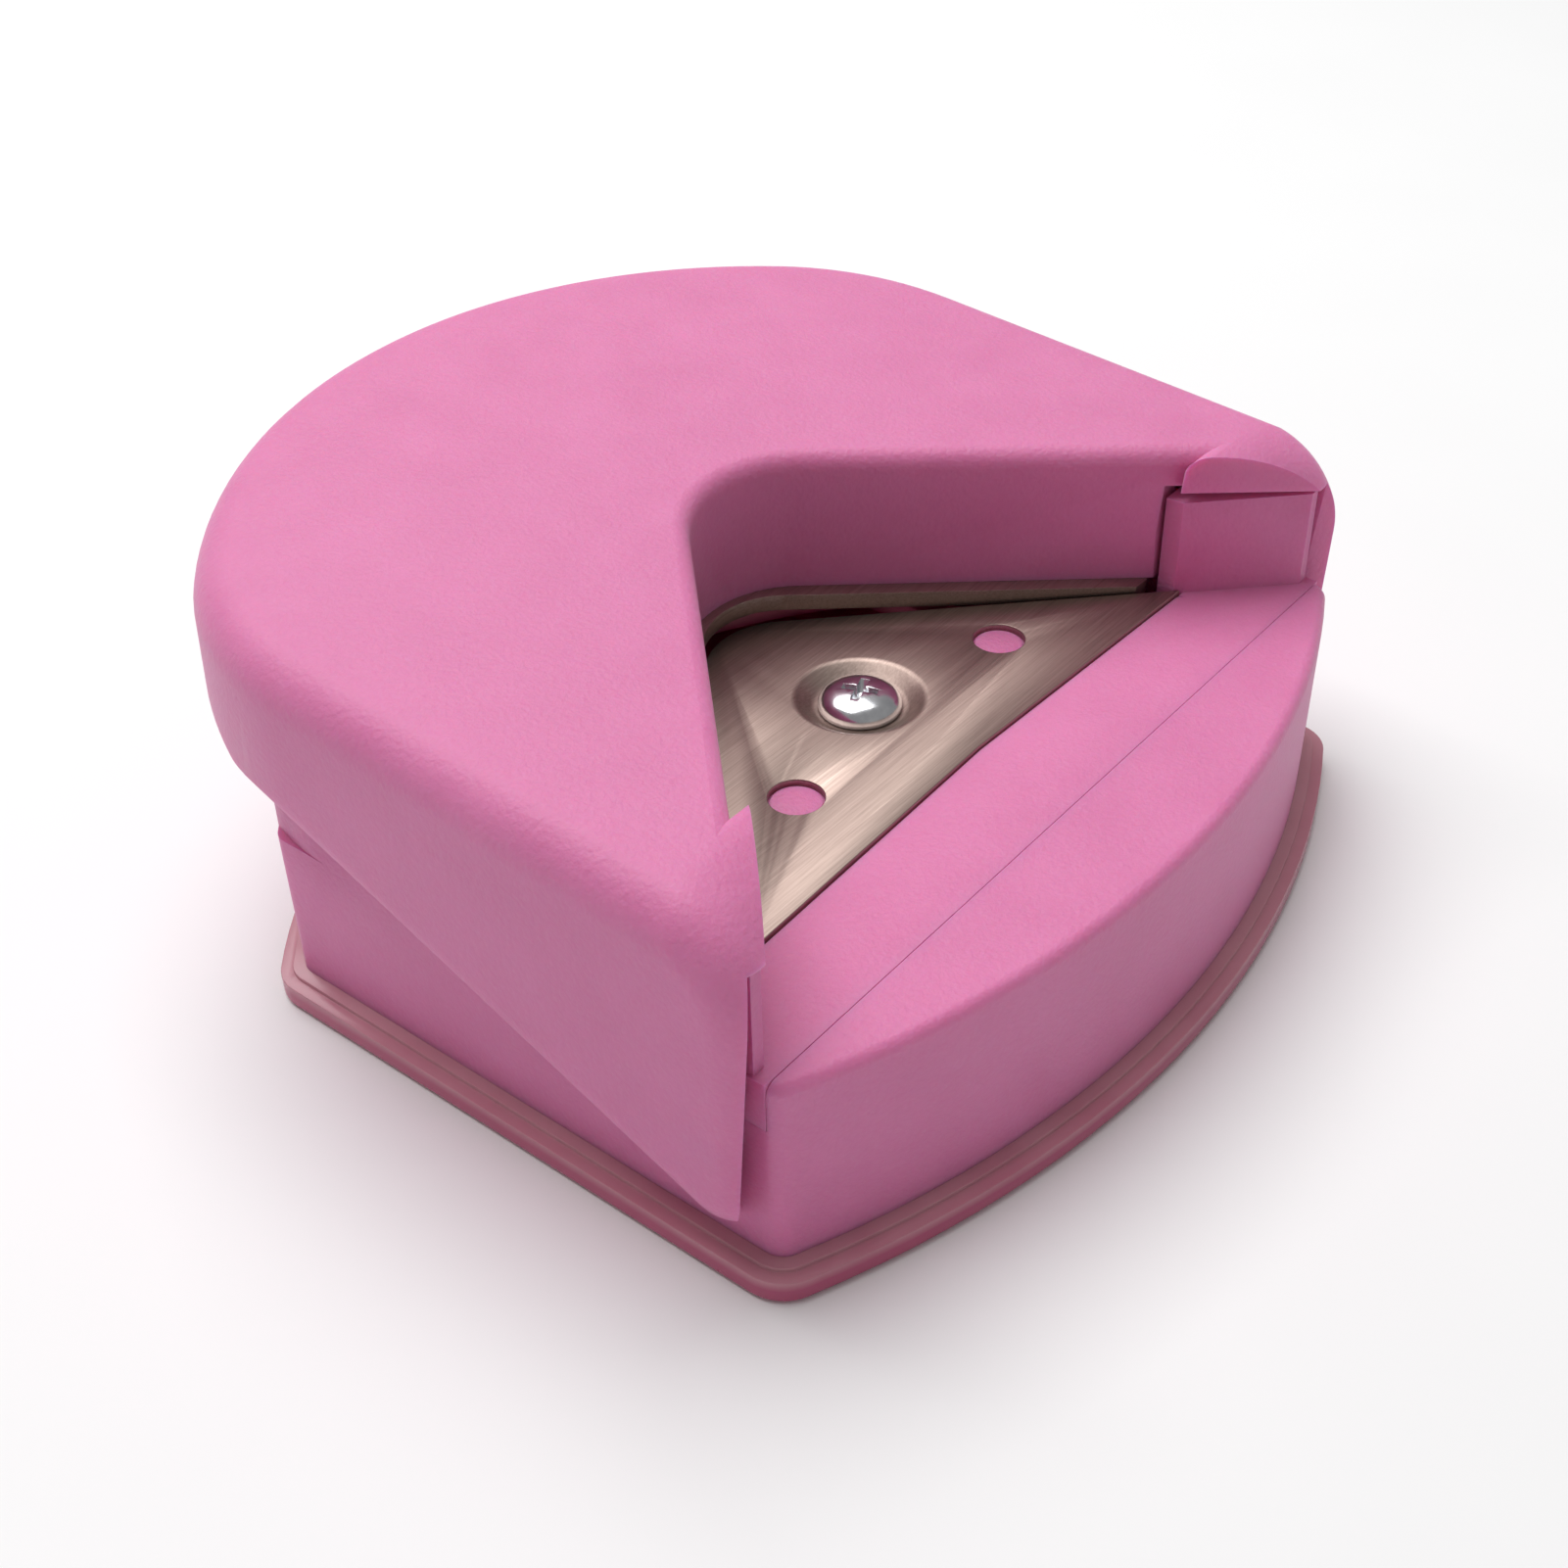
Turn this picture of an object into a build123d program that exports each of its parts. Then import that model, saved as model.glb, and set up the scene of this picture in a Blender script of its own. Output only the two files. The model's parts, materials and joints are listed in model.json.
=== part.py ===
from build123d import *
import math
import os

# Hand-held corner rounder: a lever with a V notch presses a steel blade past a fixed steel
# plate and cuts the corner of a sheet to a round.  Millimetres, +Z up, table plane at Z = 0.
# The symmetry plane is X = 0, the sheet goes in from -Y, and the thumb presses at +Y.
# The origin lies under the middle of the base.

# ---- overall sizes ----
BODY_HALF_W = 28.0        # half the width of the base moulding
FRONT_Y = -20.0           # front corners of the base, where the straight sides end
SIDE_LENGTH = 35.5        # straight run of each side of the base
NOSE_RISE = 6.4           # how far the front face bulges past its corners
BACK_RISE = 11.5          # how far the back face bulges past its corners
BODY_CORNER_R = 1.3
NOSE_EDGE_R = 0.7
BODY_WALL = 2.0
DECK_Z = 13.5             # height of the paper deck
BACK_WALL_Z = 17.0        # height of the base wall behind the cutting area
BACK_WALL_START = 31.0    # where that higher wall begins, from the front corners
BACK_RAMP = 5.0
NEST_Z = 11.5             # above this the back corners are trimmed to nest in the lever
NEST_START = 28.0
NEST_GAP = 0.3

# ---- waste tray ----
TRAY_TOP = 1.75           # the base stands on this face
TRAY_LEDGE = 1.5          # how far the tray shows outside the base
TRAY_FLOOR = 0.8
TRAY_STEP = 0.25          # small step half way across the ledge
TRAY_LIP_H = 3.0          # lip that plugs up inside the base
TRAY_LIP_T = 1.0
TRAY_FIT = 0.1            # side clearance of the lip in the base
TRAY_EDGE_R = 0.35

# ---- pivot ----
HINGE_FROM_FRONT = 3.2
HINGE_Z = 9.0
ROD_R = 1.0
ROD_FIT = 0.04            # radial running clearance in the lever arms
ROD_SEAT = 0.01           # radial clearance in the base, where the rod stays put
ROD_IN_ARM = 1.1          # depth of the blind bore in each arm
ROD_END_GAP = 0.05
REST_TILT = 5.0           # degrees that the lever stands open at rest

# ---- lever, in its level position ----
LEVER_TOP = 22.83
LEVER_WALL = 1.7
LEVER_LENGTH = 54.7       # front corners of the base to the back of the lever
LEVER_BACK_R_MORE = 4.2
LEVER_CORNER_CENTRE_X = 12.2
LEVER_SIDE_GAP = 0.3      # between the arms and the sides of the base
LEVER_SKIN = 1.9
LEVER_EDGE_R = 2.6
ARM_EDGE_R = 2.4          # rounding that runs round each arm, seen from above
ARM_EDGE_END = 44.0       # where that rounding ends, from the front corners
BACK_EDGE_R = 0.8         # lower edge of the round back
NOTCH_EDGE_R = 1.1
EDGE_SLACK = 0.1          # reach used when the notch's edges are picked out
NOTCH_WALL = 1.5
UNDERCUT_ANGLE = 16.7     # slope of the lever's lower edge
FOOT_R = 3.0              # rounded lower end of each arm
FOOT_BEHIND_FRONT = 2.8
FOOT_Z = 6.6
ARM_TOP_R = 6.5           # rounding over the arm tips, seen from the side
VISOR_DEPTH = 2.5         # lip of the top skin that covers the guide posts
VISOR_STEP = 0.9          # how far that lip stands out from the notch wall
VISOR_END = 8.3           # where the lip ends, from the front corners

# ---- cutting geometry: V lines at 45 degrees, named by where they cross X = 0 ----
DIE_V = 28.4              # edge of the fixed plate
CUT_R = 5.0               # radius that is cut on the sheet
GUIDE_V = 28.5            # faces of the two paper stops
SHEAR_GAP = 0.1           # between the two blades
WALL_BEHIND_BLADE = 1.0   # how far the moving blade shows inside the notch wall
NOTCH_R = 7.5

# ---- fixed plate ----
PLATE_T = 0.5
PLATE_SUNK = 0.25         # depth of its seat in the deck
PLATE_SEAT_GAP = 0.1
PLATE_FRONT = 6.9         # front corners of the plate, from the base's front corners
PLATE_CHEVRON = 0.7       # set-back of the middle of its front edge
PLATE_OVERHANG = 0.4      # the cutting edge stands out past the deck
PEG_X = 10.0
PEG_FROM_FRONT = 12.9
PEG_HOLE_R = 1.6
PEG_FIT = 0.15
PEG_DROP = 0.35           # pegs stay below the face of the plate
SCREW_FROM_FRONT = 16.0
DIMPLE_TOP_R = 3.9
DIMPLE_FLOOR_R = 2.8
DIMPLE_DEPTH = 0.8
DIMPLE_RIM = 1.2          # flat ring round the dimple
DIMPLE_BEND_R = 0.7
DIMPLE_ROOM = 0.5         # room round the dimple in the deck insert

# ---- deck insert ----
SEAM = 0.6                # seam behind the front corners
SEAM_GAP = 0.05
INSERT_T = 3.0
POST_INNER_X = 21.3
POST_BACK = 8.4
POST_TOP = 19.9
POST_SIDE_GAP = 0.2       # post set in from the side of the base
POST_CLEAR = 0.35         # room behind the posts for the arms' inner walls
POST_FRONT_BACK = 0.8     # post set back from the seam
SCREW_BOSS_R = 3.2
SCREW_BOSS_H = 7.0

# ---- screws ----
HEAD_R = 2.5
HEAD_H = 1.3
SHANK_R = 1.2
SHANK_FIT = 0.25
THREAD_SEAT = 0.02
BLADE_SCREW_LEN = 7.0
CROSS_W = 0.65
CROSS_L = 2.9
CROSS_DEPTH = 0.9
CROSS_TURN = 20.0         # degrees that the recess is turned on every screw
HEAD_ROUND = 0.45         # rounding of the head's top edge, as a share of its height
TIP_CHAMFER = 0.6         # chamfer at the screw's end, as a share of the shank radius
SCREW_END_ROOM = 0.5      # blind hole left beyond a screw's end
SMALL_HEAD_R = 2.0
SMALL_HEAD_H = 1.0
SMALL_SHANK_R = 0.95

# ---- moving blade ----
BLADE_T = 1.1
BLADE_PASS = 1.0          # how far it passes below the deck, with the lever level
BLADE_BAND = 6.5          # width of each leg
BLADE_FRONT = 9.4         # front ends of the legs, from the base's front corners
BLADE_SCREW_IN = 4.9      # screw line behind the cutting edge
BLADE_SCREW_X = 11.5
BLADE_BOSS_R = 2.3
BLADE_ROOM_END = 35.4     # the space for the blade ends here, from the front corners
ARM_ROOM_END = 12.0       # the space between the arms under the notch walls ends here
SMALL_SCREW_LEN = 6.0

# ---- cross wall, spring and travel stops ----
CROSS_WALL_FROM_FRONT = 7.0
CROSS_WALL_T = 2.0
BASE_SCREW_X = 12.0
BASE_BOSS_R = 3.0
BASE_SCREW_LEN = 8.0
SHELF_FROM_FRONT = 34.2
SHELF_Z = 8.0
SHELF_T = 2.0
SPRING_FROM_FRONT = 39.0
SPRING_R = 3.9            # mean coil radius
SPRING_WIRE_R = 0.4
SPRING_TURNS = 7
SPRING_FOOT_Z = 6.1
SPRING_TOP_Z = 21.5
SPRING_END_GAP = 0.03
CUP_R = 4.8
CUP_WALL = 1.2
CUP_FLOOR = 1.2
SPRING_POST_R = 2.4
SPRING_POST_H = 4.0
STOP_X = 12.5
STOP_FROM_FRONT = 37.5
STOP_W = 5.0
STOP_T = 1.8
STOP_BARB = 1.2
STOP_BARB_H = 1.8
STOP_GAP = 0.1
SLOT_SIDE_GAP = 0.4
SLOT_FRONT_GAP = 0.5
SLOT_BACK_GAP = 0.9

# ---- worked out from the sizes above ----
ROOT2 = math.sqrt(2.0)
HINGE_Y = FRONT_Y + HINGE_FROM_FRONT
BACK_Y = FRONT_Y + SIDE_LENGTH
SEAM_Y = FRONT_Y + SEAM
INSERT_Z = DECK_Z - INSERT_T
BLADE_Z = DECK_Z - BLADE_PASS
SCREW_Y = FRONT_Y + SCREW_FROM_FRONT
SPRING_Y = FRONT_Y + SPRING_FROM_FRONT
STOP_Y = FRONT_Y + STOP_FROM_FRONT
POST_X = BODY_HALF_W - POST_SIDE_GAP
ARM_INNER_X = BODY_HALF_W + LEVER_SIDE_GAP
LEVER_HALF_W = ARM_INNER_X + LEVER_WALL
LEVER_BACK_R = LEVER_HALF_W + LEVER_BACK_R_MORE
LEVER_CORNER_R = LEVER_HALF_W - LEVER_CORNER_CENTRE_X
LEVER_AXIS = Axis((0, HINGE_Y, HINGE_Z), (1, 0, 0))
PLATE_SEAT_Z = DECK_Z - PLATE_SUNK
PLATE_TOP_Z = PLATE_SEAT_Z + PLATE_T
# The arms swing about a low rod, so the open lever carries its blade forward by this much.
OPEN_SHIFT = (BLADE_Z + BLADE_T - HINGE_Z) * math.sin(math.radians(REST_TILT))
OPEN_SHRINK = DIE_V * (1.0 - math.cos(math.radians(REST_TILT)))
BLADE_V = DIE_V + SHEAR_GAP * ROOT2 + OPEN_SHIFT + OPEN_SHRINK
BLADE_R = CUT_R + (BLADE_V - DIE_V) / ROOT2
WALL_V = BLADE_V + WALL_BEHIND_BLADE * ROOT2
VISOR_V = WALL_V - VISOR_STEP * ROOT2
WALL_BACK_V = WALL_V + NOTCH_WALL * ROOT2
FAR = 100.0


def up(face, z_low, z_high):
    """A plan face extruded between two heights."""
    return Pos(0, 0, z_low) * extrude(face, amount=z_high - z_low)


def block(x_low, x_high, y_low, y_high, z_low, z_high):
    """A box given by its limits."""
    centre = ((x_low + x_high) / 2, (y_low + y_high) / 2, (z_low + z_high) / 2)
    return Pos(*centre) * Box(x_high - x_low, y_high - y_low, z_high - z_low)


def rod(x, y, radius, z_low, z_high):
    """An upright round bar given by its ends."""
    return Pos(x, y, (z_low + z_high) / 2) * Cylinder(radius, z_high - z_low)


def body_outline(grow=0.0):
    """Plan of the base: straight sides, arched nose and back, rounded corners."""
    half = BODY_HALF_W
    edges = Line((-half, FRONT_Y), (-half, BACK_Y))
    edges += ThreePointArc((-half, BACK_Y), (0, BACK_Y + BACK_RISE), (half, BACK_Y))
    edges += Line((half, BACK_Y), (half, FRONT_Y))
    edges += ThreePointArc((half, FRONT_Y), (0, FRONT_Y - NOSE_RISE), (-half, FRONT_Y))
    face = make_face(edges)
    face = fillet(face.vertices(), BODY_CORNER_R)
    return offset(face, grow) if grow else face


def lever_outline(shrink=0.0):
    """Plan of the lever: parallel arms and a round back made of three tangent arcs."""
    half = LEVER_HALF_W - shrink
    back_r = LEVER_BACK_R - shrink
    corner_r = LEVER_CORNER_R - shrink
    back_centre_y = FRONT_Y + LEVER_LENGTH - LEVER_BACK_R
    corner_x = half - corner_r
    corner_y = back_centre_y + math.sqrt((back_r - corner_r) ** 2 - corner_x ** 2)
    join_angle = math.atan2(corner_y - back_centre_y, corner_x)
    join_x = back_r * math.cos(join_angle)
    join_y = back_centre_y + back_r * math.sin(join_angle)
    mid_x = corner_x + corner_r * math.cos(join_angle / 2)
    mid_y = corner_y + corner_r * math.sin(join_angle / 2)
    front = FRONT_Y - FOOT_R
    edges = Line((-half, front), (-half, corner_y))
    edges += ThreePointArc((-half, corner_y), (-mid_x, mid_y), (-join_x, join_y))
    edges += ThreePointArc((-join_x, join_y), (0, back_centre_y + back_r), (join_x, join_y))
    edges += ThreePointArc((join_x, join_y), (mid_x, mid_y), (half, corner_y))
    edges += Line((half, corner_y), (half, front))
    edges += Line((half, front), (-half, front))
    return make_face(edges)


def v_face(v_line, radius):
    """The open V in plan, from its rounded point forwards past the nose."""
    reach = v_line + NOSE_RISE * 4
    point = (0, FRONT_Y + v_line)
    left = (-reach, FRONT_Y + v_line - reach)
    right = (reach, FRONT_Y + v_line - reach)
    face = make_face(Polyline(left, point, right, close=True))
    tip = face.vertices().sort_by(Axis.Y)[-1]
    return fillet(tip, radius)


def cross_recess(x, y, top):
    """Cross-shaped driver recess in a screw head."""
    long_bar = Box(CROSS_L, CROSS_W, CROSS_DEPTH)
    cross = long_bar + Rot(0, 0, 90) * long_bar
    return Pos(x, y, top - CROSS_DEPTH / 2) * Rot(0, 0, CROSS_TURN) * cross


def screw_down(x, y, seat_z, head_r, head_h, shank_r, length):
    """A pan-head screw that points down, its head resting at seat_z."""
    head = rod(x, y, head_r, seat_z, seat_z + head_h)
    head = fillet(head.edges().group_by(Axis.Z)[-1], head_h * HEAD_ROUND)
    shank = rod(x, y, shank_r, seat_z - length, seat_z)
    point = chamfer(shank.edges().group_by(Axis.Z)[0], shank_r * TIP_CHAMFER)
    return head + point - cross_recess(x, y, seat_z + head_h)


def screw_up(x, y, seat_z, head_r, head_h, shank_r, length):
    """The same kind of screw driven upwards from below."""
    screw = screw_down(x, y, 0, head_r, head_h, shank_r, length)
    return Pos(0, 0, seat_z) * screw.mirror(Plane.XY)


def lever_rest(part):
    """Turns a lever part from its level position to its open rest position."""
    return part.rotate(LEVER_AXIS, REST_TILT)


def waste_tray():
    """Clear ledged tray: thin floor, stepped ledge, lip that plugs into the base."""
    outer = up(body_outline(TRAY_LEDGE), 0, TRAY_TOP)
    rims = outer.edges().filter_by(Plane.XY)
    outer = fillet(rims, TRAY_EDGE_R)
    step = up(body_outline(TRAY_LEDGE + 1), TRAY_TOP - TRAY_STEP, TRAY_TOP + 1)
    step -= up(body_outline(TRAY_LEDGE / 2), TRAY_TOP - TRAY_STEP, TRAY_TOP + 1)
    lip_grow = -BODY_WALL - TRAY_FIT
    lip = up(body_outline(lip_grow), TRAY_FLOOR, TRAY_TOP + TRAY_LIP_H)
    bin_space = up(body_outline(lip_grow - TRAY_LIP_T), TRAY_FLOOR, TRAY_TOP + TRAY_LIP_H)
    return outer - step + lip - bin_space


def base_screw_places():
    """Screws that hold the deck insert down, one each side."""
    y = FRONT_Y + CROSS_WALL_FROM_FRONT + CROSS_WALL_T / 2
    return [(-BASE_SCREW_X, y), (BASE_SCREW_X, y)]


def base_body():
    """Base moulding: ring wall, closed nose, cross wall, spring shelf and cup."""
    inner = body_outline(-BODY_WALL)
    body = up(body_outline(), TRAY_TOP, BACK_WALL_Z) - up(inner, TRAY_TOP, BACK_WALL_Z)
    # The wall is lower beside the cutting area and ramps up behind it.
    ramp_start = FRONT_Y + BACK_WALL_START - BACK_RAMP
    ramp_end = FRONT_Y + BACK_WALL_START
    low_part = Polyline((-FAR, DECK_Z), (ramp_start, DECK_Z), (ramp_end, BACK_WALL_Z),
                        (ramp_end, FAR), (-FAR, FAR), close=True)
    body -= Pos(-FAR, 0, 0) * extrude(Plane.YZ * make_face(low_part), amount=2 * FAR)
    nose_zone = block(-FAR, FAR, -FAR, SEAM_Y, INSERT_Z - BODY_WALL, FAR)
    nose = up(body_outline(), INSERT_Z - BODY_WALL, DECK_Z) & nose_zone
    top_edges = nose.edges().group_by(Axis.Z)[-1]
    outer = top_edges.filter_by(lambda edge: (edge @ 0.5).Y < SEAM_Y - EDGE_SLACK)
    nose = fillet(outer, NOSE_EDGE_R)
    body = body - nose_zone + nose
    body += up(inner, INSERT_Z - BODY_WALL, INSERT_Z) & block(
        -FAR, FAR, SEAM_Y - BODY_WALL, SEAM_Y + BODY_WALL, 0, FAR)
    # Seat of the deck insert: everything behind the seam drops to its underside.
    seat_back = FRONT_Y + POST_BACK + SEAM_GAP
    body -= block(-FAR, FAR, SEAM_Y, seat_back, INSERT_Z, FAR)
    cross_y = FRONT_Y + CROSS_WALL_FROM_FRONT
    wall_x = BODY_HALF_W - BODY_WALL / 2
    lip_clear = TRAY_TOP + TRAY_LIP_H + TRAY_FIT
    body += block(-wall_x, wall_x, cross_y, cross_y + CROSS_WALL_T, lip_clear, INSERT_Z)
    for x, y in base_screw_places():
        body += rod(x, y, BASE_BOSS_R, INSERT_Z - BASE_SCREW_LEN + SHANK_R, INSERT_Z)
        body -= rod(x, y, SMALL_SHANK_R + SHANK_FIT, 0, DECK_Z)
        body -= rod(x, y, SMALL_HEAD_R + SHANK_FIT, 0, INSERT_Z - BASE_SCREW_LEN + BODY_WALL)
    # The back corners nest inside the open lever, where it stands furthest forward.
    room = lever_rest(up(lever_outline(LEVER_WALL + NEST_GAP), -FAR, FAR))
    corners = block(-FAR, FAR, FRONT_Y + NEST_START, FAR, NEST_Z, FAR)
    body -= corners - room
    # Shelf across the back, with the spring cup and the slots for the travel stops.
    shelf = up(body_outline(-BODY_WALL / 2), SHELF_Z, SHELF_Z + SHELF_T)
    body += shelf & block(-FAR, FAR, FRONT_Y + SHELF_FROM_FRONT, FAR, 0, FAR)
    cup_low = SPRING_FOOT_Z - CUP_FLOOR
    body += rod(0, SPRING_Y, CUP_R + CUP_WALL, cup_low, SHELF_Z + SHELF_T)
    body -= rod(0, SPRING_Y, CUP_R, SPRING_FOOT_Z, FAR)
    for side in (-1, 1):
        x = side * STOP_X
        half_w = STOP_W / 2 + SLOT_SIDE_GAP
        front = STOP_Y - STOP_T / 2 - SLOT_FRONT_GAP
        back = STOP_Y + STOP_T / 2 + SLOT_BACK_GAP
        body -= block(x - half_w, x + half_w, front, back, 0, SHELF_Z + SHELF_T + 1)
    bore = Rot(0, 90, 0) * Cylinder(ROD_R + ROD_SEAT, 2 * FAR)
    return body - Pos(0, HINGE_Y, HINGE_Z) * bore


def deck_insert():
    """Flat bed under the fixed plate, with the two paper stops, pegs and screw boss."""
    bed_v = DIE_V - PLATE_OVERHANG * ROOT2
    front = SEAM_Y + SEAM_GAP
    post_back = FRONT_Y + POST_BACK
    bed = body_outline() & v_face(bed_v, CUT_R)
    bed &= Pos(0, front + FAR / 2) * Rectangle(FAR, FAR)
    ends = body_outline() & Pos(0, (front + post_back) / 2) * Rectangle(FAR, post_back - front)
    ends &= Pos(POST_INNER_X + FAR / 2, 0) * Rectangle(FAR, FAR)
    plan = bed + ends + mirror(ends, Plane.YZ)
    insert = up(plan, INSERT_Z, DECK_Z)
    posts = Pos(0, (front + POST_FRONT_BACK + post_back) / 2) * Rectangle(
        2 * POST_X, post_back - front - POST_FRONT_BACK)
    posts -= v_face(GUIDE_V, CUT_R)
    right = posts & Pos(POST_INNER_X + FAR / 2, 0) * Rectangle(FAR, FAR)
    insert += up(right, DECK_Z - 1, POST_TOP)
    insert += up(mirror(right, Plane.YZ), DECK_Z - 1, POST_TOP)
    insert += rod(0, SCREW_Y, SCREW_BOSS_R, INSERT_Z - SCREW_BOSS_H, INSERT_Z + 1)
    insert -= up(plate_plan(PLATE_SEAT_GAP), PLATE_SEAT_Z, DECK_Z + 1)
    # Hollow under the dimple of the plate.
    hollow_r = DIMPLE_TOP_R + DIMPLE_ROOM
    hollow_floor = PLATE_SEAT_Z - DIMPLE_DEPTH
    insert -= rod(0, SCREW_Y, hollow_r, hollow_floor, DECK_Z + 1)
    insert -= rod(0, SCREW_Y, SHANK_R + THREAD_SEAT, hollow_floor - BLADE_SCREW_LEN, DECK_Z)
    for x in (-PEG_X, PEG_X):
        peg = rod(x, FRONT_Y + PEG_FROM_FRONT, PEG_HOLE_R - PEG_FIT,
                  PLATE_SEAT_Z - 1, PLATE_TOP_Z - PEG_DROP)
        insert += peg
    for x, y in base_screw_places():
        hole_top = INSERT_Z + INSERT_T / 2 + SCREW_END_ROOM
        insert -= rod(x, y, SMALL_SHANK_R + THREAD_SEAT, INSERT_Z - 1, hole_top)
    return insert


def plate_plan(grow=0.0):
    """Plan of the fixed plate: rounded point, 45 degree sides, shallow chevron front."""
    front_x = DIE_V - PLATE_FRONT
    corner_y = FRONT_Y + PLATE_FRONT - grow
    middle_y = corner_y + PLATE_CHEVRON
    chevron = Polyline((-FAR, corner_y), (-front_x, corner_y), (0, middle_y),
                       (front_x, corner_y), (FAR, corner_y), (FAR, FAR), (-FAR, FAR), close=True)
    return v_face(DIE_V + grow * ROOT2, CUT_R) & make_face(chevron)


def lower_blade():
    """Thin steel plate with a pressed dimple, a screw hole and two peg holes."""
    plate = up(plate_plan(), PLATE_SEAT_Z, PLATE_TOP_Z)
    floor = PLATE_TOP_Z - DIMPLE_DEPTH
    ring_r = DIMPLE_TOP_R + DIMPLE_RIM
    section = make_face(Polyline(
        (ring_r, PLATE_TOP_Z), (DIMPLE_TOP_R, PLATE_TOP_Z), (DIMPLE_FLOOR_R, floor), (0, floor),
        (0, floor - PLATE_T), (DIMPLE_FLOOR_R, floor - PLATE_T),
        (DIMPLE_TOP_R, PLATE_SEAT_Z), (ring_r, PLATE_SEAT_Z), close=True))
    bends = section.vertices().filter_by(lambda point: 0 < point.X < ring_r - 0.01)
    dish = revolve(Plane.XZ * fillet(bends, DIMPLE_BEND_R), Axis.Z)
    plate -= rod(0, SCREW_Y, ring_r, PLATE_SEAT_Z - 1, PLATE_TOP_Z + 1)
    plate += Pos(0, SCREW_Y, 0) * dish
    plate -= rod(0, SCREW_Y, SHANK_R + SHANK_FIT, 0, FAR)
    for x in (-PEG_X, PEG_X):
        plate -= rod(x, FRONT_Y + PEG_FROM_FRONT, PEG_HOLE_R, 0, FAR)
    return plate


def blade_screw():
    """Screw that holds the fixed plate in its dimple."""
    seat = PLATE_TOP_Z - DIMPLE_DEPTH
    return screw_down(0, SCREW_Y, seat, HEAD_R, HEAD_H, SHANK_R, BLADE_SCREW_LEN)


def base_screws():
    """Screws from below that hold the deck insert to the base."""
    head_z = INSERT_Z - BASE_SCREW_LEN + BODY_WALL
    length = BASE_SCREW_LEN - BODY_WALL + INSERT_T / 2
    return [screw_up(x, y, head_z, SMALL_HEAD_R, SMALL_HEAD_H, SMALL_SHANK_R, length)
            for x, y in base_screw_places()]


def upper_blade_screw_places():
    """Screw places of the moving blade: one behind the point, one on each leg."""
    line = BLADE_V + BLADE_SCREW_IN * ROOT2
    point_y = FRONT_Y + BLADE_V - BLADE_R * (ROOT2 - 1) + BLADE_SCREW_IN
    leg_y = FRONT_Y + line - BLADE_SCREW_X
    return [(0, point_y), (-BLADE_SCREW_X, leg_y), (BLADE_SCREW_X, leg_y)]


def upper_blade():
    """Moving steel blade: a V band with a rounded inner point, level position."""
    band = v_face(BLADE_V + BLADE_BAND * ROOT2, BLADE_R + BLADE_BAND) - v_face(BLADE_V, BLADE_R)
    band &= Pos(0, FRONT_Y + BLADE_FRONT + FAR / 2) * Rectangle(FAR, FAR)
    legs_reach = POST_INNER_X - LEVER_SIDE_GAP
    band &= Rectangle(2 * legs_reach, 2 * FAR)
    blade = up(band, BLADE_Z, BLADE_Z + BLADE_T)
    for x, y in upper_blade_screw_places():
        blade -= rod(x, y, SMALL_SHANK_R + SHANK_FIT, 0, FAR)
    return blade


def upper_blade_screws():
    """Screws that hold the moving blade up against the lever's bosses."""
    return [screw_up(x, y, BLADE_Z, SMALL_HEAD_R, SMALL_HEAD_H, SMALL_SHANK_R, SMALL_SCREW_LEN)
            for x, y in upper_blade_screw_places()]


def lower_edge(back_y):
    """The rearmost point of the arm's foot, and the lower edge's point at back_y."""
    slope = math.radians(UNDERCUT_ANGLE)
    foot_y = FRONT_Y + FOOT_BEHIND_FRONT
    low = (foot_y + FOOT_R * math.sin(slope), FOOT_Z - FOOT_R * math.cos(slope))
    return low, (back_y, low[1] + (back_y - low[0]) * math.tan(slope))


def lever_profile(back_y):
    """Side view of the lever: level top, sloping lower edge, rounded foot of the arms."""
    slope = math.radians(UNDERCUT_ANGLE)
    lean = math.radians(REST_TILT)
    foot_y = FRONT_Y + FOOT_BEHIND_FRONT
    low, back = lower_edge(back_y)
    fore = (foot_y - FOOT_R * math.cos(lean), FOOT_Z + FOOT_R * math.sin(lean))
    turn = (slope - lean - 1.5 * math.pi) / 2
    mid = (foot_y + FOOT_R * math.cos(turn), FOOT_Z + FOOT_R * math.sin(turn))
    top_front = (fore[0] + (LEVER_TOP - fore[1]) * math.tan(lean), LEVER_TOP)
    edges = ThreePointArc(fore, mid, low) + Line(low, back)
    edges += Line(back, (back[0], LEVER_TOP)) + Line((back[0], LEVER_TOP), top_front)
    edges += Line(top_front, fore)
    face = make_face(edges)
    corner = face.vertices().sort_by_distance(top_front)[0]
    return fillet(corner, ARM_TOP_R)


def in_notch_rim(edge):
    """True for the top edges that border the V notch behind the visor."""
    middle = edge @ 0.5
    in_v = abs(middle.X) + middle.Y - FRONT_Y < WALL_V + EDGE_SLACK
    return in_v and middle.Y > FRONT_Y + VISOR_END - EDGE_SLACK


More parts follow.
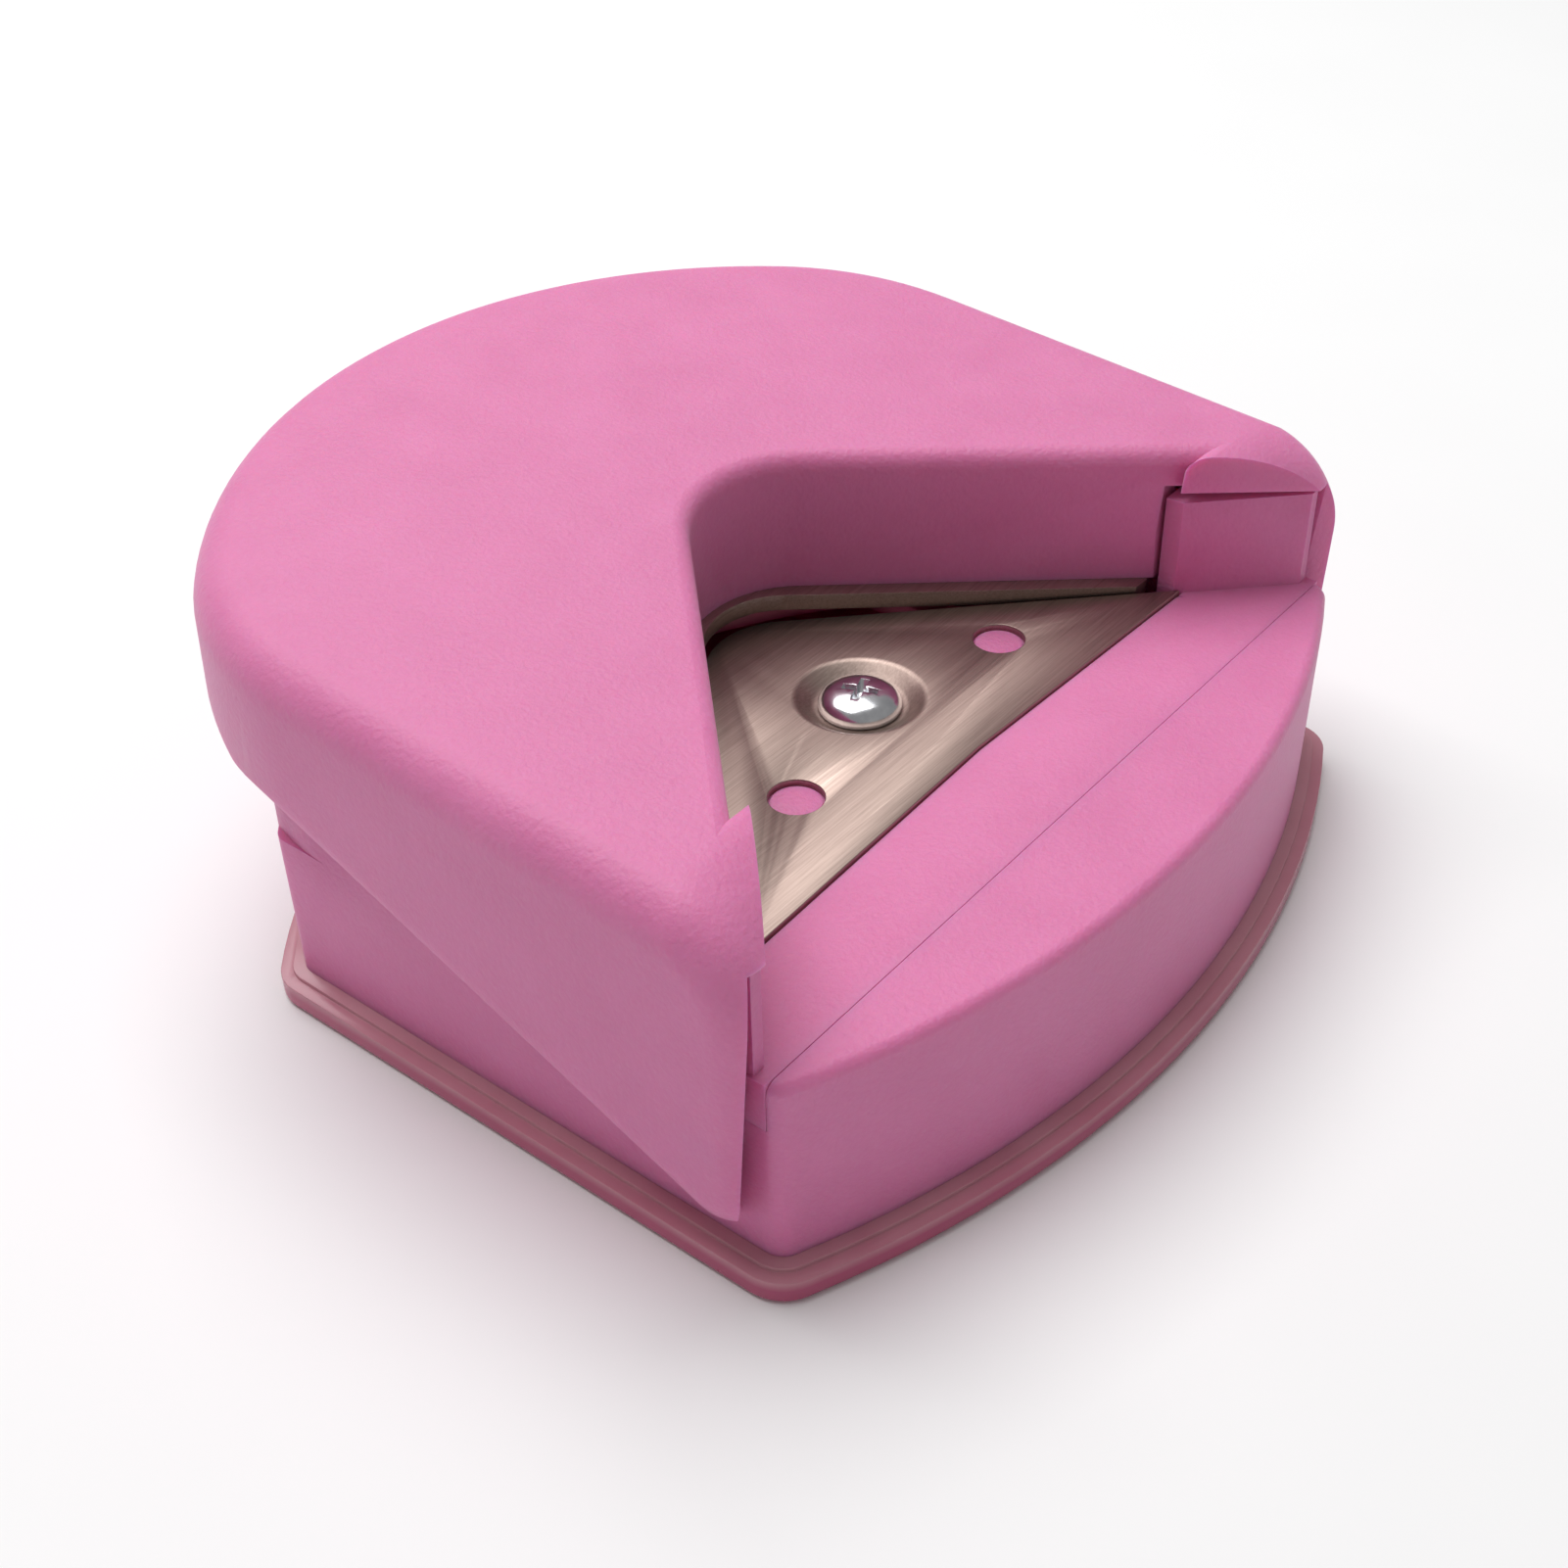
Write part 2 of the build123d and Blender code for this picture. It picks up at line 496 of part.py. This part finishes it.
def lever_block():
    """The solid outer form of the lever, with all its outer edges rounded."""
    whole = up(lever_outline(), 0, LEVER_TOP)
    rims = whole.edges().group_by(Axis.Z)[-1].sort_by(Axis.Y)[1:]
    whole = fillet(rims, LEVER_EDGE_R)
    foot, back = lower_edge(FAR)
    rise = (back[1] - foot[1]) / (back[0] - foot[0])
    below = Polyline((-FAR, foot[1] - (FAR + foot[0]) * rise), back, (FAR, -FAR),
                     (-FAR, -FAR), close=True)
    whole -= Pos(-FAR, 0, 0) * extrude(Plane.YZ * make_face(below), amount=2 * FAR)
    whole = fillet(whole.edges().filter_by(GeomType.ELLIPSE), BACK_EDGE_R)
    # The arms get a wider rounding that runs on round their tips and feet.
    arms_end = FRONT_Y + ARM_EDGE_END
    side = Plane.YZ * lever_profile(arms_end)
    arms = Pos(-LEVER_HALF_W, 0, 0) * extrude(side, amount=2 * LEVER_HALF_W)
    end_edges = arms.faces().filter_by(Axis.X).edges()
    arms = fillet(end_edges.filter_by(lambda edge: (edge @ 0.5).Y < arms_end - 1), ARM_EDGE_R)
    arms += block(-FAR, FAR, arms_end - 1, FAR, -FAR, FAR)
    return whole & arms


def lever_cap():
    """Press lever: skin, side walls, notch walls, screw bosses, spring post and stops."""
    solid = lever_block()
    ceiling = LEVER_TOP - LEVER_SKIN
    cavity = lever_outline(LEVER_WALL) - v_face(WALL_BACK_V, NOTCH_R + NOTCH_WALL)
    solid -= up(cavity, -1, ceiling)
    visor_zone = block(-FAR, FAR, -FAR, FRONT_Y + VISOR_END, LEVER_TOP - VISOR_DEPTH, FAR)
    notch = up(v_face(WALL_V, NOTCH_R), -1, FAR) - visor_zone
    notch += up(v_face(VISOR_V, NOTCH_R), -1, FAR)
    solid -= notch
    top_edges = solid.edges().filter_by_position(Axis.Z, LEVER_TOP - 0.01, LEVER_TOP + 0.01)
    solid = fillet(top_edges.filter_by(in_notch_rim), NOTCH_EDGE_R)
    wall_end_x = POST_INNER_X - LEVER_SIDE_GAP
    room_end = FRONT_Y + POST_BACK + POST_CLEAR
    # Notch walls end at the blade's upper face; the arms keep their full depth.
    solid -= block(-wall_end_x, wall_end_x, -FAR, FRONT_Y + BLADE_ROOM_END,
                   -1, BLADE_Z + BLADE_T)
    behind_post_x = WALL_BACK_V - POST_BACK + POST_CLEAR
    solid -= block(-behind_post_x, behind_post_x, -FAR, FRONT_Y + ARM_ROOM_END,
                   -1, BLADE_Z + BLADE_T)
    for x, y in upper_blade_screw_places():
        boss = rod(x, y, BLADE_BOSS_R, BLADE_Z + BLADE_T, ceiling + LEVER_SKIN / 2)
        solid += boss - up(v_face(WALL_V, NOTCH_R), 0, FAR)
        solid -= rod(x, y, SMALL_SHANK_R + THREAD_SEAT, 0, BLADE_Z + SMALL_SCREW_LEN + SCREW_END_ROOM)
    solid = lever_rest(solid)
    # Room for the posts under the visor, straight behind them while the lever is open.
    for side in (-1, 1):
        near, far = sorted((side * wall_end_x, side * ARM_INNER_X))
        room = lever_rest(block(near, far, -FAR, FAR, -1, LEVER_TOP - VISOR_DEPTH))
        solid -= room & block(near, far, -FAR, room_end, -FAR, FAR)
    return solid


def lever_inside():
    """Spring post and travel stops, upright in the open rest position."""
    roof = lever_rest(up(lever_outline(LEVER_WALL / 2), 0, LEVER_TOP - LEVER_SKIN / 2))
    inside = rod(0, SPRING_Y, CUP_R + CUP_WALL / 2, SPRING_TOP_Z, FAR)
    inside += rod(0, SPRING_Y, SPRING_POST_R, SPRING_TOP_Z - SPRING_POST_H, FAR)
    barb_top = SHELF_Z - STOP_GAP
    for side in (-1, 1):
        x = side * STOP_X
        low_x, high_x = x - STOP_W / 2, x + STOP_W / 2
        front, back = STOP_Y - STOP_T / 2, STOP_Y + STOP_T / 2
        inside += block(low_x, high_x, front, back, barb_top - STOP_BARB_H, FAR)
        inside += block(low_x, high_x, front - STOP_BARB, back, barb_top - STOP_BARB_H, barb_top)
    return inside & roof


def pivot_rod():
    """Steel rod that the lever swings on."""
    half = ARM_INNER_X + ROD_IN_ARM - ROD_END_GAP
    return Pos(0, HINGE_Y, HINGE_Z) * Rot(0, 90, 0) * Cylinder(ROD_R, 2 * half)


def lever():
    """The whole lever moulding at rest, with blind bores for the pivot rod."""
    part = lever_cap() + lever_inside()
    half = ARM_INNER_X + ROD_IN_ARM
    bore = Pos(0, HINGE_Y, HINGE_Z) * Rot(0, 90, 0) * Cylinder(ROD_R + ROD_FIT, 2 * half)
    return part - bore


def return_spring():
    """Compression spring between the base's cup and the lever."""
    height = SPRING_TOP_Z - SPRING_FOOT_Z - 2 * (SPRING_WIRE_R + SPRING_END_GAP)
    low = SPRING_FOOT_Z + SPRING_WIRE_R + SPRING_END_GAP
    path = Helix(pitch=height / SPRING_TURNS, height=height, radius=SPRING_R)
    wire = Plane(origin=path @ 0, z_dir=path % 0) * Circle(SPRING_WIRE_R)
    return Pos(0, SPRING_Y, low) * sweep(wire, path=path)


def save(name, shapes):
    """Writes one node; a list is a group of separate solids."""
    solids = shapes if isinstance(shapes, list) else shapes.solids()
    if len(solids) == 1:
        export_step(solids[0], "parts/" + name + ".step")
    else:
        export_step(Compound(children=list(solids)), "parts/" + name + ".step")
    print(name, len(solids))


os.makedirs("parts", exist_ok=True)
save("waste_tray", waste_tray())
save("base_body", base_body())
save("deck_insert", deck_insert())
save("lower_blade", lower_blade())
save("blade_screw", blade_screw())
save("base_screws", base_screws())
save("pivot_rod", pivot_rod())
save("return_spring", return_spring())
save("upper_blade", lever_rest(upper_blade()))
save("upper_blade_screws", [lever_rest(screw) for screw in upper_blade_screws()])
save("lever_cap", lever())
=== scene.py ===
import bmesh
import bpy
import json
import math
from mathutils import Matrix, Vector


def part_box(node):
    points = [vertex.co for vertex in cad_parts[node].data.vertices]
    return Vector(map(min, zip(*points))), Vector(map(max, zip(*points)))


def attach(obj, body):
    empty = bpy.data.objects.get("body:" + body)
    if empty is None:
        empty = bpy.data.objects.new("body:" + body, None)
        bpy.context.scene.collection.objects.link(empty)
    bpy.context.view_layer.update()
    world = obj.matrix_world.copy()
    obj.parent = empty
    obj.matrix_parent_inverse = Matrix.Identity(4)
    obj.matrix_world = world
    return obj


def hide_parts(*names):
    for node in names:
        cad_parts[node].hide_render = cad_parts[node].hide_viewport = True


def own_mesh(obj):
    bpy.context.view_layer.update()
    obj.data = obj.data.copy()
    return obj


# Corner rounder: pink lever and base, steel plate and blade, clear waste tray.
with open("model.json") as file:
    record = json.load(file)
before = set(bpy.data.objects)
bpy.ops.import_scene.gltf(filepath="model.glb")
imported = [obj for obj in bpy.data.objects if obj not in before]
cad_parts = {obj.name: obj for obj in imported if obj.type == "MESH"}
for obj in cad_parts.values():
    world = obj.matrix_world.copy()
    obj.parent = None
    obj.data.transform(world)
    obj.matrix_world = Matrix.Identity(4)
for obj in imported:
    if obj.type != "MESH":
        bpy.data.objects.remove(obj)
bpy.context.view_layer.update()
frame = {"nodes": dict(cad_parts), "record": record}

MM = 0.001
WELD = 0.002 * MM                   # points nearer than this are one point
SCREW_TURN = math.radians(20)       # how far the screw's recess is turned from square

# Width of the small round that breaks each part's sharp edges, with the body that carries it.
EDGE_ROUNDS = {"lever_cap": ("lever", 0.3 * MM), "base_body": ("base", 0.2 * MM),
               "deck_insert": ("base", 0.15 * MM), "lower_blade": ("base", 0.05 * MM),
               "upper_blade": ("lever", 0.07 * MM), "waste_tray": ("tray", 0.12 * MM)}
EDGE_ANGLE = math.radians(35)       # edges sharper than this are rounded
FLAT_ANGLE = math.radians(0.5)      # faces flatter than this to each other are one face

# Studio: camera and lamp, in metres and degrees.
CAMERA_PLACE = (-77.76 * MM, -61.49 * MM, 79.79 * MM)
CAMERA_TURN, CAMERA_LIFT, CAMERA_ROLL = -50.814, 36.86, -1.308
CAMERA_LENS = 45.78
LAMP_PLACE = (0.06, 0.2, 0.55)
LAMP_AIM = (0, 0, 0.01)
LAMP_SIZE = 0.5
LAMP_POWER = 3.6
SURROUND_STRENGTH = 0.3
FLOOR_SIZE = 4.0
FLOOR_DROP = 0.00002                # keeps the floor just clear of the tray's underside


# ---------------------------------------------------------------- node trees

def add(tree, kind, **inputs):
    """A shader node with its inputs set: a value is plugged in if it is a socket."""
    node = tree.nodes.new("ShaderNode" + kind)
    for name, value in inputs.items():
        socket = node.inputs[name.replace("_", " ")]
        if isinstance(value, bpy.types.NodeSocket):
            tree.links.new(value, socket)
        else:
            socket.default_value = value
    return node


def ramp(tree, source, low, high, low_colour, high_colour):
    """Two colours blended between two values of a mask."""
    node = tree.nodes.new("ShaderNodeValToRGB")
    tree.links.new(source, node.inputs["Fac"])
    first, last = node.color_ramp.elements
    first.position, first.color = low, low_colour
    last.position, last.color = high, high_colour
    return node.outputs["Color"]


def spread(tree, source, low, high):
    """A 0 to 1 value moved to the range between low and high."""
    node = tree.nodes.new("ShaderNodeMapRange")
    tree.links.new(source, node.inputs["Value"])
    node.inputs["To Min"].default_value = low
    node.inputs["To Max"].default_value = high
    return node.outputs["Result"]


def linear(red, green, blue):
    """An 8 bit screen colour as the linear colour that the renderer uses."""
    def one(level):
        level = level / 255
        return level / 12.92 if level <= 0.04045 else ((level + 0.055) / 1.055) ** 2.4
    return (one(red), one(green), one(blue), 1.0)


def new_group(name, inputs, outputs):
    """A shader node group with number inputs and the outputs named."""
    tree = bpy.data.node_groups.new(name, "ShaderNodeTree")
    for label, value in inputs.items():
        socket = tree.interface.new_socket(label, in_out="INPUT", socket_type="NodeSocketFloat")
        socket.default_value = value
    for label in outputs:
        tree.interface.new_socket(label, in_out="OUTPUT", socket_type="NodeSocketFloat")
    return tree, tree.nodes.new("NodeGroupInput"), tree.nodes.new("NodeGroupOutput")


def sand_group():
    """Spark-eroded mould texture: fine round grain, with softer lumps and rubbed patches."""
    tree, given, result = new_group("sand_grain", {"Grain": 5200.0, "Lumps": 260.0},
                                    ["Height", "Patches"])
    place = tree.nodes.new("ShaderNodeTexCoord").outputs["Object"]
    fine = add(tree, "TexNoise", Vector=place, Scale=given.outputs["Grain"], Detail=3.0,
               Roughness=0.62)
    cells = add(tree, "TexVoronoi", Vector=place, Scale=given.outputs["Grain"])
    lumps = add(tree, "TexNoise", Vector=place, Scale=given.outputs["Lumps"], Detail=3.0)
    mixed = add(tree, "Math")
    mixed.operation = "MULTIPLY_ADD"
    tree.links.new(cells.outputs["Distance"], mixed.inputs[0])
    mixed.inputs[1].default_value = -0.35
    tree.links.new(fine.outputs["Fac"], mixed.inputs[2])
    tree.links.new(mixed.outputs[0], result.inputs["Height"])
    tree.links.new(lumps.outputs["Fac"], result.inputs["Patches"])
    return tree


def grind_group():
    """Fine grinding lines along X, with a few deeper scratches."""
    tree, given, result = new_group("grinding_lines", {"Lines": 9000.0}, ["Lines", "Scratches"])
    place = tree.nodes.new("ShaderNodeTexCoord").outputs["Object"]
    squeeze = add(tree, "Mapping", Vector=place, Scale=(0.02, 1.0, 1.0))
    lines = add(tree, "TexNoise", Vector=squeeze.outputs[0], Scale=given.outputs["Lines"],
                Detail=4.0, Roughness=0.7)
    turn = add(tree, "Mapping", Vector=place, Rotation=(0, 0, 0.5), Scale=(0.05, 1.0, 1.0))
    deep = add(tree, "TexNoise", Vector=turn.outputs[0], Scale=1500.0, Detail=2.0)
    tree.links.new(lines.outputs["Fac"], result.inputs["Lines"])
    tree.links.new(deep.outputs["Fac"], result.inputs["Scratches"])
    return tree


SAND = sand_group()
GRIND = grind_group()


def use(tree, group, **values):
    """Places a group in a material with its own values."""
    node = tree.nodes.new("ShaderNodeGroup")
    node.node_tree = group
    for name, value in values.items():
        node.inputs[name].default_value = value
    return node.outputs


def new_material(name):
    """A material with an empty Principled shader; returns it, its tree and the shader."""
    material = bpy.data.materials.new(name)
    material.use_nodes = True
    tree = material.node_tree
    return material, tree, tree.nodes["Principled BSDF"]


def bump(tree, shader, height, depth, strength):
    """Feeds a height into the shader's normal; depth in metres."""
    node = add(tree, "Bump", Strength=strength, Distance=depth, Height=height)
    tree.links.new(node.outputs["Normal"], shader.inputs["Normal"])


def pink_plastic():
    """Pink moulding with a fine sand texture; light spreads a little below its surface, and
    painted shade darkens the low points of the grain.
    """
    material, tree, shader = new_material("pink_plastic")
    grain = use(tree, SAND, Grain=3000.0, Lumps=220.0)
    base = ramp(tree, grain["Patches"], 0.3, 0.7, (0.71, 0.212, 0.428, 1),
                (0.745, 0.235, 0.46, 1))
    # painted shade: the low points of the sand grain are tinted a darker crimson
    pit_shade = tree.nodes.new("ShaderNodeMix")
    pit_shade.data_type = "RGBA"
    tree.links.new(spread(tree, grain["Height"], 0.2, 0.0), pit_shade.inputs["Factor"])
    tree.links.new(base, pit_shade.inputs[6])
    pit_shade.inputs[7].default_value = (0.56, 0.09, 0.25, 1)
    tree.links.new(pit_shade.outputs[2], shader.inputs["Base Color"])
    tree.links.new(spread(tree, grain["Patches"], 0.44, 0.58), shader.inputs["Roughness"])
    shader.inputs["Subsurface Weight"].default_value = 0.45
    shader.inputs["Subsurface Radius"].default_value = (1.0, 0.2, 0.42)
    shader.inputs["Subsurface Scale"].default_value = 0.0016
    shader.inputs["Specular IOR Level"].default_value = 0.4
    shader.inputs["Sheen Weight"].default_value = 0.1
    shader.inputs["Sheen Roughness"].default_value = 0.5
    shader.inputs["IOR"].default_value = 1.49
    bump(tree, shader, grain["Height"], 0.00006, 0.9)
    return material


def tray_plastic():
    """Smoky see-through plastic: painted light makes the ledge pale, painted shade makes the side
    a deeper pink low down.
    """
    material, tree, shader = new_material("tray_plastic")
    grain = use(tree, SAND, Grain=2200.0, Lumps=180.0)
    place = tree.nodes.new("ShaderNodeTexCoord").outputs["Object"]
    split = add(tree, "SeparateXYZ", Vector=place)
    # painted light and shade by height: the shaded low side blends up to the pale lit ledge
    rise = add(tree, "MapRange", Value=split.outputs["Z"])
    rise.inputs["From Min"].default_value = 0.0009
    rise.inputs["From Max"].default_value = 0.0016
    pale = ramp(tree, grain["Patches"], 0.3, 0.7, linear(232, 160, 176), linear(242, 178, 190))
    mixed = tree.nodes.new("ShaderNodeMix")
    mixed.data_type = "RGBA"
    tree.links.new(rise.outputs["Result"], mixed.inputs["Factor"])
    # painted shade colour of the low side of the tray
    mixed.inputs[6].default_value = linear(214, 96, 138)
    tree.links.new(pale, mixed.inputs[7])
    tree.links.new(mixed.outputs[2], shader.inputs["Base Color"])
    tree.links.new(spread(tree, grain["Patches"], 0.18, 0.32), shader.inputs["Roughness"])
    shader.inputs["Transmission Weight"].default_value = 0.35
    shader.inputs["IOR"].default_value = 1.49
    bump(tree, shader, grain["Patches"], 0.00005, 0.5)
    return material


def blade_steel():
    """Ground spring steel with fine lines."""
    material, tree, shader = new_material("blade_steel")
    lines = use(tree, GRIND, Lines=9000.0)
    colour = ramp(tree, lines["Lines"], 0.3, 0.75, linear(150, 132, 124), linear(184, 164, 154))
    tree.links.new(colour, shader.inputs["Base Color"])
    tree.links.new(spread(tree, lines["Scratches"], 0.4, 0.5), shader.inputs["Roughness"])
    shader.inputs["Metallic"].default_value = 1.0
    bump(tree, shader, lines["Lines"], 0.000008, 0.6)
    return material


def bright_zinc():
    """Bright zinc plate with a little mottling."""
    material, tree, shader = new_material("bright_zinc")
    grain = use(tree, SAND, Grain=2600.0, Lumps=900.0)
    colour = ramp(tree, grain["Patches"], 0.3, 0.7, linear(205, 206, 210), linear(232, 232, 234))
    tree.links.new(colour, shader.inputs["Base Color"])
    tree.links.new(spread(tree, grain["Patches"], 0.14, 0.26), shader.inputs["Roughness"])
    shader.inputs["Metallic"].default_value = 1.0
    bump(tree, shader, grain["Height"], 0.000006, 0.4)
    return material


def drawn_wire():
    """Drawn steel wire and rod, a little oily."""
    material, tree, shader = new_material("drawn_wire")
    lines = use(tree, GRIND, Lines=7000.0)
    colour = ramp(tree, lines["Scratches"], 0.3, 0.75, linear(150, 152, 156),
                  linear(184, 186, 190))
    tree.links.new(colour, shader.inputs["Base Color"])
    tree.links.new(spread(tree, lines["Lines"], 0.22, 0.36), shader.inputs["Roughness"])
    shader.inputs["Metallic"].default_value = 1.0
    return material


MATERIALS = {"pink_plastic": pink_plastic(), "tray_plastic": tray_plastic(),
             "blade_steel": blade_steel(), "screw_zinc": bright_zinc(),
             "spring_steel": drawn_wire()}
SLOTS = {part["node"]: part["material_slot"] for part in frame["record"]["subparts"]}


# ---------------------------------------------------------------- pieces

def finish(piece, body, slot, *nodes):
    """Gives a new piece its finish, its body and the nodes that it stands for."""
    bpy.context.scene.collection.objects.link(piece)
    piece.data.materials.clear()
    piece.data.materials.append(MATERIALS[slot])
    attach(piece, body)
    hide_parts(*nodes)


def softened(node, body, width):
    """A copy of a part whose sharp edges are broken by a small round."""
    mesh = frame["nodes"][node].data.copy()
    bm = bmesh.new()
    bm.from_mesh(mesh)
    bmesh.ops.remove_doubles(bm, verts=bm.verts, dist=WELD)
    bmesh.ops.dissolve_degenerate(bm, edges=bm.edges, dist=WELD)
    bmesh.ops.dissolve_limit(bm, verts=bm.verts, edges=bm.edges, angle_limit=FLAT_ANGLE)
    for face in bm.faces:
        face.smooth = True
    bm.to_mesh(mesh)
    bm.free()
    mesh.name = node + "_soft"
    piece = bpy.data.objects.new(node + "_soft", mesh)
    finish(piece, body, SLOTS[node], node)
    edge = piece.modifiers.new("edge_round", "BEVEL")
    edge.width = width
    edge.segments = 2
    edge.limit_method = "ANGLE"
    edge.angle_limit = EDGE_ANGLE
    edge.harden_normals = True
    edge.use_clamp_overlap = True


for node, cad_object in frame["nodes"].items():
    cad_object.data.materials.clear()
    cad_object.data.materials.append(MATERIALS[SLOTS[node]])


def new_piece(name, bm):
    """An object from a finished bmesh, at the origin."""
    bmesh.ops.recalc_face_normals(bm, faces=bm.faces)
    for face in bm.faces:
        face.smooth = True
    mesh = bpy.data.meshes.new(name)
    bm.to_mesh(mesh)
    bm.free()
    return bpy.data.objects.new(name, mesh)


def turned(bm, outline, centre, steps=64):
    """A solid turned about the upright line through centre; outline is (radius, height) pairs."""
    points = [bm.verts.new((centre.x + radius, centre.y, height)) for radius, height in outline]
    edges = [bm.edges.new(pair) for pair in zip(points, points[1:])]
    bmesh.ops.spin(bm, geom=points + edges, cent=centre, axis=(0, 0, 1), steps=steps,
                   angle=2 * math.pi, use_merge=True)
    bmesh.ops.remove_doubles(bm, verts=bm.verts, dist=WELD)


def recess_bar(centre, top, turn):
    """One tapered bar of a cross-head driver's point, as a tool for cutting the recess."""
    bm = bmesh.new()
    bar = bmesh.ops.create_cube(bm, size=1.0)["verts"]
    bmesh.ops.scale(bm, verts=bar, vec=(3.0 * MM, 0.62 * MM, 1.7 * MM))
    low = [vert for vert in bar if vert.co.z < 0]
    bmesh.ops.scale(bm, verts=low, vec=(0.5, 0.7, 1.0))
    bmesh.ops.transform(bm, matrix=Matrix.Rotation(turn, 4, "Z"), verts=bar)
    bmesh.ops.translate(bm, verts=bar, vec=(centre.x, centre.y, top))
    return new_piece("recess_bar", bm)


def cut_away(piece, tool):
    """Takes the tool's shape out of a piece, and the tool out of the scene."""
    bpy.context.scene.collection.objects.link(tool)
    cut = piece.modifiers.new("recess", "BOOLEAN")
    cut.operation = "DIFFERENCE"
    cut.solver = "EXACT"
    cut.object = tool
    bpy.context.view_layer.update()
    ready = piece.evaluated_get(bpy.context.evaluated_depsgraph_get())
    solved = bpy.data.meshes.new_from_object(ready)
    piece.modifiers.clear()
    piece.data = solved
    bpy.data.objects.remove(tool)


def plate_screw():
    """Pan-head screw in the dimple: domed head with a tapered cross recess, threaded shank."""
    low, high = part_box("blade_screw")
    centre = Vector(((low.x + high.x) / 2, (low.y + high.y) / 2, 0))
    radius = (high.x - low.x) / 2
    seat = high.z - 1.3 * MM
    shank = 1.2 * MM
    head = [(0, high.z), (0.35 * radius, high.z - 0.03 * MM), (0.62 * radius, high.z - 0.13 * MM),
            (0.82 * radius, high.z - 0.34 * MM), (0.95 * radius, high.z - 0.66 * MM),
            (radius, high.z - 0.95 * MM), (0.99 * radius, seat + 0.06 * MM),
            (0.95 * radius, seat), (shank, seat)]
    thread = []
    height = seat - 0.7 * MM
    while height > low.z + 1.3 * MM:
        thread += [(shank, height), (shank - 0.22 * MM, height - 0.25 * MM)]
        height -= 0.5 * MM
    tip = [(shank * 0.9, low.z + 0.8 * MM), (0, low.z)]
    bm = bmesh.new()
    turned(bm, head + thread + tip, centre)
    screw = new_piece("plate_screw", bm)
    finish(screw, "base", "screw_zinc", "blade_screw")
    for quarter in (0, math.pi / 2):
        cut_away(screw, recess_bar(centre, high.z, SCREW_TURN + quarter))
    edge = screw.modifiers.new("edge_round", "BEVEL")
    edge.width = 0.05 * MM
    edge.segments = 2
    edge.limit_method = "ANGLE"
    edge.angle_limit = math.radians(40)


def coil_spring():
    """Compression spring with a closed coil at each end."""
    low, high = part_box("return_spring")
    centre = (low + high) / 2
    wire = 0.4 * MM
    coil_r = (high.x - low.x) / 2 - wire
    closed = 2.1 * wire
    open_rise = high.z - low.z - 2 * wire - 2 * closed
    bm = bmesh.new()
    ring = bmesh.ops.create_circle(bm, segments=12, radius=wire, cap_ends=True)["verts"]
    stand = Matrix.Translation((centre.x + coil_r, centre.y, low.z + wire))
    bmesh.ops.transform(bm, matrix=stand @ Matrix.Rotation(math.pi / 2, 4, "X"), verts=ring)
    last = list(bm.faces)
    for turns, rise in ((1, closed), (5, open_rise), (1, closed)):
        steps = 40 * turns
        swept = bmesh.ops.spin(bm, geom=last, cent=(centre.x, centre.y, 0), axis=(0, 0, 1),
                               dvec=(0, 0, rise / steps), angle=2 * math.pi * turns, steps=steps)
        last = [part for part in swept["geom_last"] if isinstance(part, bmesh.types.BMFace)]
    spring = new_piece("coil_spring", bm)
    finish(spring, "base", "spring_steel", "return_spring")
    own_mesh(spring)


# ---------------------------------------------------------------- studio

def studio_floor():
    """Plain pale table with a very faint mottling."""
    material, tree, shader = new_material("pale_floor")
    place = tree.nodes.new("ShaderNodeTexCoord").outputs["Object"]
    cloud = add(tree, "TexNoise", Vector=place, Scale=30.0, Detail=2.0)
    colour = ramp(tree, cloud.outputs["Fac"], 0.2, 0.8, (0.89, 0.89, 0.89, 1),
                  (0.91, 0.91, 0.91, 1))
    tree.links.new(colour, shader.inputs["Base Color"])
    shader.inputs["Roughness"].default_value = 0.8
    bm = bmesh.new()
    bmesh.ops.create_grid(bm, x_segments=1, y_segments=1, size=FLOOR_SIZE / 2)
    bmesh.ops.translate(bm, verts=bm.verts, vec=(0, 0, -FLOOR_DROP))
    mesh = bpy.data.meshes.new("studio_floor")
    bm.to_mesh(mesh)
    bm.free()
    floor = bpy.data.objects.new("studio_floor", mesh)
    bpy.context.scene.collection.objects.link(floor)
    floor.data.materials.append(material)


def studio_light():
    """Even pale surroundings and one broad soft lamp above, a little behind."""
    world = bpy.data.worlds.new("studio_world")
    bpy.context.scene.world = world
    world.use_nodes = True
    world.node_tree.nodes["Background"].inputs["Color"].default_value = (1, 1, 1, 1)
    world.node_tree.nodes["Background"].inputs["Strength"].default_value = SURROUND_STRENGTH
    data = bpy.data.lights.new("lamp_top", "AREA")
    data.size = LAMP_SIZE
    data.energy = LAMP_POWER
    light = bpy.data.objects.new("lamp_top", data)
    light.location = LAMP_PLACE
    aim = Vector(LAMP_AIM) - Vector(LAMP_PLACE)
    light.rotation_euler = aim.to_track_quat("-Z", "Y").to_euler()
    bpy.context.scene.collection.objects.link(light)
    bpy.context.scene.view_settings.view_transform = "Standard"


def view_camera():
    """Camera on the left of the paper side, looking down."""
    data = bpy.data.cameras.new("main_camera")
    data.lens = CAMERA_LENS
    data.sensor_width = 36.0
    data.clip_start = 0.005
    camera = bpy.data.objects.new("main_camera", data)
    camera.matrix_world = (Matrix.Translation(CAMERA_PLACE)
                           @ Matrix.Rotation(math.radians(CAMERA_TURN), 4, "Z")
                           @ Matrix.Rotation(math.pi / 2 - math.radians(CAMERA_LIFT), 4, "X")
                           @ Matrix.Rotation(math.radians(CAMERA_ROLL), 4, "Z"))
    bpy.context.scene.collection.objects.link(camera)
    bpy.context.scene.camera = camera


for node, (body, width) in EDGE_ROUNDS.items():
    softened(node, body, width)
plate_screw()
coil_spring()
studio_floor()
studio_light()
view_camera()
